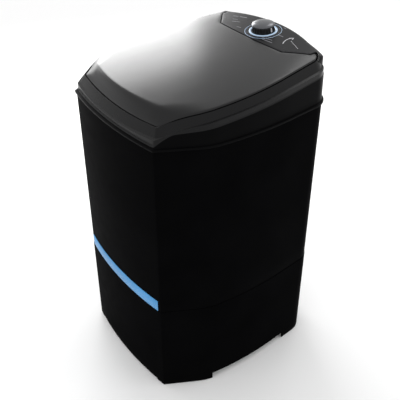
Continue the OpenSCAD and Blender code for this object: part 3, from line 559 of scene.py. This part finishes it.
def bowed_edge(grow, half, steps):
    """Front edge of the panel, from right to left, moved forward by grow."""
    r = PANEL_BOW_R + grow
    y0 = PANEL_BOW_R + PANEL_FRONT - PANEL_BOW
    a = math.asin(half / r)
    return [Vector((r * math.sin(a * k / steps), y0 - r * math.cos(a * k / steps)))
            for k in range(steps, -steps - 1, -1)]


def softened(points, places):
    """Rounds the given corners of an open run of points; places maps an index to a radius."""
    out = []
    for i, p in enumerate(points):
        r = places.get(i)
        if r is None:
            out.append(p)
            continue
        a = p + unit(points[i - 1] - p) * r
        b = p + unit(points[i + 1] - p) * r
        for t in (0, 0.25, 0.5, 0.75, 1):
            out.append(a.lerp(p, t).lerp(p.lerp(b, t), t))
    return out


def divided(points, longest, closed=True):
    """The same run of points with no gap longer than the longest given."""
    out = []
    count = len(points)
    for i in range(count if closed else count - 1):
        a, b = points[i], points[(i + 1) % count]
        k = max(1, math.ceil((b - a).length / longest))
        out += [a.lerp(b, t / k) for t in range(k)]
    if not closed:
        out.append(points[-1])
    return out


def lid_outline():
    """The lid's edge: the crown's outline, an ear at each rear corner, and the panel's bow."""
    edge = crown(MM + LID_GAP)
    i = min(range(len(edge)), key=lambda i: abs(edge[i].x) + (0 if edge[i].y < 0 else 1))
    run = []
    while not (edge[i].x > 0 and edge[i].y > EAR_START):
        run.append(edge[i])
        i = (i + 1) % len(edge)
    inner = bowed_edge(LID_GAP, PANEL_HALF + 0.6 * MM, BOW_STEPS)
    tail = softened(EAR + [inner[0]], EAR_SOFT)
    right_half = run + tail[:-1] + inner[:BOW_STEPS]
    left_half = [Vector((-p.x, p.y)) for p in reversed(right_half[1:])]
    return divided(right_half + [inner[BOW_STEPS]] + left_half, EDGE_STEP)


def panel_outline():
    """The panel's edge: its bowed front, a clipped corner each side, and the crown's back."""
    back = [p for p in crown(MM + LID_GAP / 2) if p.y > PANEL_BACK]
    back.sort(key=lambda p: -p.x)
    front = bowed_edge(0, PANEL_HALF, BOW_STEPS)[::-1]
    ends = [front[-1], PANEL_CORNER, Vector((168.4 * MM, 216.5 * MM)), back[0]]
    ends = softened(ends, {1: 3 * MM})
    left = [Vector((-p.x, p.y)) for p in reversed(ends[1:-1])]
    return divided(front + ends[1:-1] + back + left, EDGE_STEP)


def offset_in(points, d):
    """Closed outline moved inwards by a small distance."""
    n = len(points)
    out = []
    for i, p in enumerate(points):
        n0 = left_of(unit(p - points[i - 1]))
        n1 = left_of(unit(points[(i + 1) % n] - p))
        out.append(p + (n0 + n1) * (d / max(0.5, 1 + n0.dot(n1))))
    return out


# ------------------------------------------------------------------ surfaces of lid and panel

CROWN_HALF = 221 * MM
LID_EDGE = 4.2 * MM
SIDE_RISE = 9.5 * MM
FRONT_O = Vector((0, FRONT_R - HALF_D))
LID_FRONT_R = FRONT_R - CROWN_INSET - MM - LID_GAP
FALL_HALF = 150 * MM
FALL_WIDTH = 19 * MM
FALL_GROWTH = 16 * MM
FALL_SOFT = 0.55
SIDE_FALL = 45 * MM
LID_GRID = 10 * MM
PANEL_GRID = 9 * MM
PANEL_GRID_Y = 150 * MM


def crown_height(x, y):
    """Height of the crowned top over a point in plan."""
    return CROWN_Z + y * SLOPE - SIDE_RISE * (x / CROWN_HALF) ** 2


def eased(t, soft):
    """0 at t = 0 rising to 1 at t = 1: curved at first, then straight."""
    t = max(0.0, min(1.0, t))
    part = t * t / (2 * soft) if t < soft else t - soft / 2
    return part / (1 - soft / 2)


def lid_height(x, y, side_x):
    """Height of the lid's surface, falling over at the front and a little at its sides."""
    top = crown_height(x, y)
    ax = abs(x)
    s = LID_FRONT_R - (Vector((x, y)) - FRONT_O).length
    width = FALL_WIDTH + FALL_GROWTH * (ax / FALL_HALF) ** 2
    front_y = FRONT_O.y - math.sqrt(LID_FRONT_R ** 2 - min(ax, FALL_HALF) ** 2)
    drop = crown_height(min(ax, FALL_HALF), front_y) - gap_height(front_y) - 1.5 * MM
    fall = eased(1 - s / width, FALL_SOFT)
    z = top - drop * fall
    side_drop = crown_height(side_x, y) - gap_height(y) - LID_EDGE
    if side_drop > 0:
        z -= side_drop * eased(1 - (side_x - ax) / SIDE_FALL, 0.8) * (1 - fall)
    return z


def side_table(points):
    """(y, x) rows of an outline's right side, from front to back."""
    return sorted((p.y, p.x) for p in points if p.x > 100 * MM)


def side_at(rows, y):
    """The right side's x at y, between the rows of side_table."""
    if y <= rows[0][0]:
        return rows[0][1]
    for (y0, x0), (y1, x1) in zip(rows, rows[1:]):
        if y <= y1:
            return x0 + (x1 - x0) * (y - y0) / max(1e-9, y1 - y0)
    return rows[-1][1]


def filled(boundary, inner_points):
    """Triangles over an outline and loose points inside it."""
    n = len(boundary)
    pts = list(boundary) + list(inner_points)
    verts, _, faces, _, _, _ = geometry.delaunay_2d_cdt(
        pts, [(i, (i + 1) % n) for i in range(n)], [list(range(n))], 1, 1e-6)
    return verts, faces


def inside(p, poly):
    """True if p is inside the closed outline."""
    hit = False
    j = len(poly) - 1
    for i in range(len(poly)):
        a, b = poly[i], poly[j]
        if (a.y > p.y) != (b.y > p.y) and p.x < (b.x - a.x) * (p.y - a.y) / (b.y - a.y) + a.x:
            hit = not hit
        j = i
    return hit


def clear_of(p, poly, d):
    return all((p - q).length > d for q in poly)


def capped_shell(name, outline_pts, inner_points, height, thick, skirt, fillet, material, body,
                 node_slot):
    """Thin shell: a surface over an outline, a rounded edge, and a skirt down to its lower edge."""
    steps = [(0.0, 1.0), (0.08, 0.62), (0.3, 0.28), (0.62, 0.08), (1.0, 0.0)]
    n = len(outline_pts)
    loops = []
    verts = []
    for d, z_of in ((thick, skirt), (0.3 * MM, skirt)):
        loops.append([Vector((p.x, p.y, z_of(p))) for p in offset_in(outline_pts, d)])
    loops.append([Vector((p.x, p.y, skirt(p) + 0.4 * MM)) for p in outline_pts])
    for f, drop in steps:
        ring = offset_in(outline_pts, fillet * f)
        loops.append([Vector((q.x, q.y, height(q) - fillet * drop)) for q in ring])
    outer_edge = offset_in(outline_pts, fillet)
    flat, tris = filled(outer_edge, inner_points)
    rings = len(loops)
    for loop in loops:
        verts += loop
    faces = []
    for r in range(rings - 1):
        for j in range(n):
            k = (j + 1) % n
            faces.append((r * n + j, r * n + k, (r + 1) * n + k, (r + 1) * n + j))
    top0 = (rings - 1) * n
    extra = len(verts)
    verts += [Vector((p[0], p[1], height(Vector((p[0], p[1]))))) for p in flat[n:]]
    remap = lambda i: top0 + i if i < n else extra + i - n
    faces += [tuple(remap(i) for i in t) for t in tris]
    under_edge = offset_in(outline_pts, max(fillet, thick))
    low0 = len(verts)
    verts += [Vector((p.x, p.y, height(p) - thick)) for p in under_edge]
    under = len(verts)
    verts += [Vector((p[0], p[1], height(Vector((p[0], p[1]))) - thick)) for p in flat[n:]]
    remap_low = lambda i: low0 + i if i < n else under + i - n
    faces += [tuple(remap_low(i) for i in reversed(t)) for t in tris]
    for j in range(n):
        k = (j + 1) % n
        faces.append((low0 + j, low0 + k, k, j))
    return mesh_piece(name, verts, faces, material, body, node_slot, 50)


def make_lid():
    """Lid, with its points closer together where the front falls over."""
    edge = lid_outline()
    rows = side_table([p for p in crown(MM + LID_GAP) if p.y > -230 * MM])
    height = lambda p: lid_height(p.x, p.y, side_at(rows, p.y))
    fillet = 2.6 * MM
    ring = offset_in(edge, fillet)
    loose = []
    for d in (3.6, 4.8, 6.2, 8, 10, 12.2, 14.6, 17.2, 20, 23, 26.4, 30, 34, 38.5, 43.5, 49, 55):
        for p in crown(MM + LID_GAP + d * MM):
            if p.y < (-60 if d < 30 else -100) * MM:
                loose.append(p)
    for ix in range(-22, 23):
        for iy in range(-17, 22):
            p = Vector((ix, iy)) * LID_GRID
            if p.y > -60 * MM or (abs(p.x) < 120 * MM and p.y > -185 * MM):
                loose.append(p)
    loose = [p for p in loose if inside(p, ring) and clear_of(p, ring, 2.2 * MM)]
    seen = {}
    for p in loose:
        seen.setdefault((round(p.x / (1.6 * MM)), round(p.y / (1.6 * MM))), p)
    skirt = lambda p: gap_height(p.y) - DECK_DROP + 2 * MM
    piece = capped_shell("lid_shell", edge, list(seen.values()), height, 2.6 * MM, skirt, fillet,
                         MAT["lid"], "lid", "lid_plastic")
    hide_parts("lid")


def make_panel():
    """Control panel behind the lid."""
    edge = panel_outline()
    height = lambda p: crown_height(p.x, p.y) - 0.2 * MM
    fillet = 1.4 * MM
    ring = offset_in(edge, fillet)
    loose = [Vector((ix * PANEL_GRID, PANEL_GRID_Y + iy * PANEL_GRID)) for ix in range(-19, 20)
             for iy in range(0, 13)]
    loose = [p for p in loose if inside(p, ring) and clear_of(p, ring, 2.5 * MM)]
    skirt = lambda p: gap_height(p.y) - DECK_DROP + 0.2 * MM
    piece = capped_shell("panel_shell", edge, loose, height, 2.4 * MM, skirt, fillet, MAT["panel"],
                         "cabinet", "panel_plastic")
    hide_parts("control_panel")


make_cabinet()
make_cover()
make_lid()
make_panel()

# ------------------------------------------------------------------ base, stripe and feet

ARCH_Y = (-123 * MM, 132 * MM)
ARCH_Z = 22 * MM
SPIGOT = (140 * MM, 62 * MM)
GLAND = (-120 * MM, 150 * MM)
FEET = [(-172, -196), (172, -196), (-184, 172), (184, 172)]
FRONT_FOOT = 6 * MM
FOOT_LOW = 2 * MM
STRIPE_HALF = 171.9 * MM
STRIPE_LOW = SEAM_Z + 0.5 * MM
STRIPE_HIGH = SEAM_Z + 32.5 * MM
COLLAR_Y = 197 * MM


def foot_line(p):
    """Height of the skirt's lower edge at a point of its outline."""
    if ARCH_Y[0] < p.y < ARCH_Y[1] or (p.y > 200 * MM and abs(p.x) < 120 * MM):
        return ARCH_Z
    if p.y < -200 * MM and abs(p.x) < 150 * MM:
        return FRONT_FOOT
    return FOOT_LOW


def skirt_stations():
    """(index, fraction, height) along the outline, with a pair at each end of an arch."""
    points = plan(BASE_INSET)
    stations = []
    for i, p in enumerate(points):
        q = points[(i + 1) % len(points)]
        stations.append((i, 0.0, foot_line(p)))
        if foot_line(p) != foot_line(q):
            low, high = 0.0, 1.0
            for _ in range(30):
                t = (low + high) / 2
                if foot_line(p.lerp(q, t)) == foot_line(p):
                    low = t
                else:
                    high = t
            step = min(0.8 * MM / (q - p).length, 0.4 * min(low, 1 - low))
            stations += [(i, low - step, foot_line(p)), (i, low + step, foot_line(q))]
    return stations


def skirt_loop(stations, d, rise=None, z=None):
    """Outline moved in by d, either at one height or at a rise over the lower edge."""
    points = plan(d)
    loop = []
    for i, t, foot in stations:
        p = points[i].lerp(points[(i + 1) % len(points)], t)
        loop.append(Vector((p.x, p.y, foot + rise if z is None else z)))
    return loop


def cut(piece, verts, faces):
    """Takes a closed form away from a piece."""
    mesh = bpy.data.meshes.new("cutter")
    mesh.from_pydata([tuple(v) for v in verts], [], faces)
    cutter = bpy.data.objects.new("cutter", mesh)
    bpy.context.scene.collection.objects.link(cutter)
    shell = bmesh.new()
    shell.from_mesh(mesh)
    bmesh.ops.recalc_face_normals(shell, faces=shell.faces)
    shell.to_mesh(mesh)
    shell.free()
    change = piece.modifiers.new("cut", "BOOLEAN")
    change.object = cutter
    change.operation = "DIFFERENCE"
    change.solver = "EXACT"
    seen = piece.evaluated_get(bpy.context.evaluated_depsgraph_get())
    made = bpy.data.meshes.new_from_object(seen)
    piece.modifiers.clear()
    piece.data = made
    bpy.data.objects.remove(cutter)


def lying_back(x, z, y):
    """Places a form with its +Z pointing out of the machine's back."""
    return lambda v: Vector((x + v.x, y + v.z, z - v.y))


def make_base():
    """Base skirt with its arches, spigot hole and gland cut-out."""
    stations = skirt_stations()
    d = BASE_INSET
    loops = [skirt_loop(stations, d + 0.9 * MM, 0), skirt_loop(stations, d + 0.25 * MM, 0.25 * MM),
             skirt_loop(stations, d, 0.9 * MM)]
    rows = [30 * MM + (SEAM_Z - 32 * MM) * k / 8 for k in range(9)]
    loops += [skirt_loop(stations, d, z=z) for z in rows]
    loops += [skirt_loop(stations, d + a * MM, z=SEAM_Z - b * MM) for a, b in [
        (0, 1.0), (0.3, 0.4), (1.0, 0.2), (4.3, 0.2), (4.4, -14.2), (7, -14.2), (7, 20), (3, 23)]]
    loops += [skirt_loop(stations, d + WALL, z=30 * MM), skirt_loop(stations, d + WALL, 0)]
    piece = mesh_piece("base_shell", *loft(loops), MAT["base"], "cabinet", "base_plastic", 35)
    cut(piece, *turned([(0, 0), (16.2 * MM, 0), (16.2 * MM, 80 * MM), (0, 80 * MM)], 48,
                       lying_back(*SPIGOT, HALF_D - 60 * MM)))
    side = 25 * MM
    x, z = GLAND
    cut(piece, *swept([[Vector((x - side, y, z - side)), Vector((x + side, y, z - side)),
                        Vector((x + side, y, z + side)), Vector((x - side, y, z + side))]
                       for y in (HALF_D - 60 * MM, HALF_D + 10 * MM)]))
    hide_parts("base_skirt")


def make_stripe():
    """Raised band across the front, over the seam."""
    z0, z1 = STRIPE_LOW, STRIPE_HIGH
    outer, inner = plan(CABINET_INSET - 1.6 * MM), plan(CABINET_INSET)
    picked = [i for i, p in enumerate(outer) if p.y < -200 * MM and abs(p.x) <= STRIPE_HALF]
    picked.sort(key=lambda i: outer[i].x)
    sections = []
    for i in picked:
        face, back = outer[i], inner[i]
        soft = face.lerp(back, 0.3)
        sections.append([Vector((*back, z0)), Vector((*soft, z0)), Vector((*face, z0 + 0.8 * MM)),
                         Vector((*face, z1 - 0.8 * MM)), Vector((*soft, z1)), Vector((*back, z1))])
    piece = mesh_piece("stripe_band", *swept(sections), MAT["stripe"], "cabinet", "stripe_blue", 50)
    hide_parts("front_stripe")


def make_feet():
    """Four rubber pads."""
    profile = [(r * MM, z * MM) for r, z in [
        (0, 0), (15.5, 0), (16.6, 0.3), (18.2, 1.2), (19, 2.6), (19, 7.2), (18.4, 8), (0, 8)]]
    pads = [turned(profile, 40, lambda v, f=f: v + Vector((f[0] * MM, f[1] * MM, 0))) for f in FEET]
    piece = mesh_piece("feet", *joined(pads), MAT["rubber"], "cabinet", "soft_rubber", 35)
    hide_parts("foot_pads")


def make_collar():
    """Raised housing round the back of the top, outside the lid and panel."""
    ring = crown(0)
    picked = [i for i, p in enumerate(ring) if p.y > COLLAR_Y]
    start = next(k for k, i in enumerate(picked) if picked[k - 1] != i - 1)
    picked = picked[start:] + picked[:start]
    sections = []
    for i in picked:
        p = ring[i]
        along = unit(ring[(i + 1) % len(ring)] - ring[i - 1])
        out = Vector((along.y, -along.x))
        if out.dot(p) < 0:
            out = -out
        fade = min(1.0, (p.y - COLLAR_Y) / (40 * MM))
        grown = eased(min(1.0, (p.y - COLLAR_Y) / (16 * MM)), 0.4)
        width = (4 * MM + 11 * MM * grown) * (1 - 0.53 * fade)
        z = gap_height(p.y) - 5 * MM * (1 - grown)
        sections.append([Vector((*(p + out * a), z + b * MM)) for a, b in [
            (0.3 * MM, -8), (0.3 * MM, 2.6), (0.9 * MM, 3.6), (2.2 * MM, 4.0),
            (width * 0.5, 4.1), (width - 2.5 * MM, 3.3), (width - 0.8 * MM, 2.0),
            (width, 0), (width + 0.6 * MM, -20), (0.3 * MM, -20)]])
    mesh_piece("rear_collar", *swept(sections), MAT["cover"], "cabinet", "cover_plastic", 50)


# ------------------------------------------------------------------ dial

DIAL_Y = 196.6 * MM
DIAL_Z = CROWN_Z + DIAL_Y * SLOPE
TILT = math.atan(SLOPE)
KNOB_TOP = 15.0
DASH_R = 44.6
SCALE_R = 46.2
TICK_R = (39.2, 42.2)
GRIPS = 24


def on_dial(v):
    """From the dial's own frame, +Z along its shaft, to the row frame."""
    return Vector((v.x, DIAL_Y + v.y * math.cos(TILT) - v.z * math.sin(TILT),
                   DIAL_Z + v.y * math.sin(TILT) + v.z * math.cos(TILT)))


def dial_part(name, profile, steps, key, body, node_slot, node, wave=None):
    scaled = [(r * MM, z * MM) for r, z in profile]
    piece = mesh_piece(name, *turned(scaled, steps, on_dial, wave), MAT[key], body, node_slot, 35)
    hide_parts(node)
    return piece


def grip(z, a):
    """Finger grips round the knob's skirt."""
    if not 2 * MM < z < 12.2 * MM:
        return 0
    return 1.2 * MM * max(0.0, math.cos(GRIPS * a)) ** 2


def make_dial():
    """Ring on the panel, knob with its grips and pointer, and the domed cap."""
    dial_part("dial_collar", [(30.2, -0.6), (36, -0.6), (36, 0.4), (35.8, 0.9), (35.2, 1.3),
                              (34.4, 1.4), (32, 1.4), (31.2, 1.2), (30.5, 0.7), (30.2, 0)],
              128, "ring", "cabinet", "ring_plastic", "dial_ring")
    skirt = [(27 - 1.5 * (z - 0.5) / 14.5, z) for z in (1.4, 2.2, 3, 4.5, 7, 9.5, 11.4, 12.1, 13.2)]
    dial_part("knob_body", [(0, 0.5), (26.4, 0.5), (26.9, 0.8)] + skirt + [
        (25.3, 14.2), (24.6, KNOB_TOP), (0, KNOB_TOP)], 288, "knob", "dial", "knob_plastic",
        "timer_knob", grip)
    dome = [(28.5 * math.cos(math.radians(a)), 16.8 + 5.2 * math.sin(math.radians(a)))
            for a in range(6, 90, 6)]
    dial_part("knob_dome", [(0, KNOB_TOP), (27.9, KNOB_TOP), (28.3, 15.2), (28.5, 15.6),
                            (28.5, 16.5)] + dome + [(0, 21.98)], 128, "cap", "dial", "cap_chrome",
              "knob_cap")
    bearing = math.radians(8)
    way, across = Vector((math.cos(bearing), math.sin(bearing))), Vector((-math.sin(bearing),
                                                                         math.cos(bearing)))
    sections = []
    for z in (2.4, 3.2, 7, 11.4, 12.4):
        half = (2.1 if 3 < z < 12 else 1.5) * MM
        far = (28.7 if 3 < z < 12 else 28.1) * MM - 1.4 * MM * z / 14.5
        near = far - 3 * MM
        corners = [way * near - across * half, way * far - across * half * 0.8,
                   way * (far + 0.3 * MM), way * far + across * half * 0.8,
                   way * near + across * half]
        sections.append([on_dial(Vector((*c, z * MM))) for c in corners])
    mesh_piece("knob_pointer", *swept(sections), MAT["print"], "dial", "cap_chrome", 35)


# ------------------------------------------------------------------ print on the panel

def strip(points, width):
    """Thin raised line on the panel through points given in millimetres."""
    path = [Vector((x * MM, y * MM)) for x, y in points]
    sections = []
    for i, p in enumerate(path):
        along = unit(path[min(i + 1, len(path) - 1)] - path[max(i - 1, 0)])
        side = Vector((-along.y, along.x)) * width * MM / 2
        section = []
        for q, rise in ((p - side, -0.6), (p + side, -0.6), (p + side, 0.08), (p - side, 0.08)):
            section.append(Vector((q.x, q.y, crown_height(q.x, q.y) + rise * MM)))
        sections.append(section)
    return swept(sections)


def arc(x, y, r, a0, a1, step=3):
    """Points along an arc, in millimetres and degrees."""
    count = max(2, round(abs(a1 - a0) / step))
    angles = [math.radians(a0 + (a1 - a0) * k / count) for k in range(count + 1)]
    return [(x + r * math.cos(a), y + r * math.sin(a)) for a in angles]


def printed(name, lines, key):
    """One piece of print from several lines."""
    return mesh_piece(name, *joined([strip(*line) for line in lines]), MAT[key], "cabinet",
                      "ring_plastic", 35)


def make_print():
    """Generic marks on the panel: scale, ticks, bars and a turning arrow."""
    y = DIAL_Y / MM
    dashes = [(arc(0, y, DASH_R, a, a + 9), 1.8) for a in range(150, 330, 15)]
    printed("dial_scale_dark", dashes, "ring_dark")
    printed("dial_scale", [(arc(0, y, SCALE_R, -175, 175), 0.9)], "ring")
    ticks = [([(r * math.cos(t), y + r * math.sin(t)) for r in TICK_R], 0.9)
             for t in (math.radians(a) for a in range(0, 360, 30))]
    printed("dial_ticks", ticks, "print_dim")
    bars = [([(36, 163), (68, 167)], 1.7), ([(29, 169), (58, 176)], 1.7),
            ([(22, 176), (48, 186)], 1.7)]
    printed("panel_bars", bars, "print_dim")
    turn = [(88, 184), (83, 192), (79.5, 201), (78.5, 209), (80, 216), (84, 222)]
    printed("turn_arrow", [(turn, 2.0), ([(77, 214), (84.5, 223)], 1.6),
                           ([(88, 214), (83.5, 223)], 1.6),
                           ([(91, 207), (132, 193)], 0.8)], "print")
    words = [([(-131, 204), (-117, 211)], 2.2), ([(-113, 212), (-92, 219)], 2.2),
             ([(-115, 190), (-101, 196)], 1.4), ([(-104, 179), (-83, 189)], 1.4),
             ([(-66, 165), (-54, 168)], 1.4), ([(46, 206), (62, 208)], 1.4),
             ([(23, 244), (34, 242)], 1.4)]
    printed("panel_ticks", words, "print_dim")


make_base()
make_stripe()
make_feet()
make_collar()
make_dial()
make_print()

# ------------------------------------------------------------------ stage

def make_stage():
    """White floor and an even white surround."""
    floor_mat = principled("floor_white", (0.9, 0.9, 0.9), 0.9)
    bpy.ops.mesh.primitive_plane_add(size=14, location=(0, 0, -0.0005))
    floor = bpy.context.object
    floor.name = "floor"
    floor.data.materials.append(floor_mat)
    world = bpy.data.worlds.new("studio")
    bpy.context.scene.world = world
    world.use_nodes = True
    world.node_tree.nodes["Background"].inputs["Color"].default_value = (1, 1, 1, 1)
    world.node_tree.nodes["Background"].inputs["Strength"].default_value = 1.08


def area_light(name, place, target, size, power, shape="RECTANGLE"):
    data = bpy.data.lights.new(name, "AREA")
    data.shape = shape
    data.size, data.size_y = size
    data.energy = power
    lamp = bpy.data.objects.new(name, data)
    lamp.location = place
    lamp.visible_camera = False
    lamp.rotation_euler = (Vector(place) - Vector(target)).to_track_quat("Z", "Y").to_euler()
    bpy.context.scene.collection.objects.link(lamp)


def make_camera():
    """Long-lens camera from the front right, above the lid."""
    data = bpy.data.cameras.new("camera")
    data.lens = 60.1
    data.sensor_width = 36
    data.clip_end = 50
    cam = bpy.data.objects.new("camera", data)
    cam.location = (1.2121, -0.8680, 1.4722)
    cam.rotation_euler = (math.radians(90 - 35.22), 0, math.radians(54.32))
    bpy.context.scene.collection.objects.link(cam)
    bpy.context.scene.camera = cam


make_stage()
area_light("lid_softbox", (-2.05, 0.62, 1.55), (-0.1, -0.1, 0.83), (1.1, 1.0), 22)
area_light("wide_softbox", (-2.1, 0.45, 1.1), (0, 0, 0.83), (2.0, 1.0), 17)
area_light("back_softbox", (-1.05, 1.95, 2.65), (0.1, 0.1, 0.83), (0.8, 0.8), 5)
make_camera()
bpy.context.scene.view_settings.view_transform = "Standard"
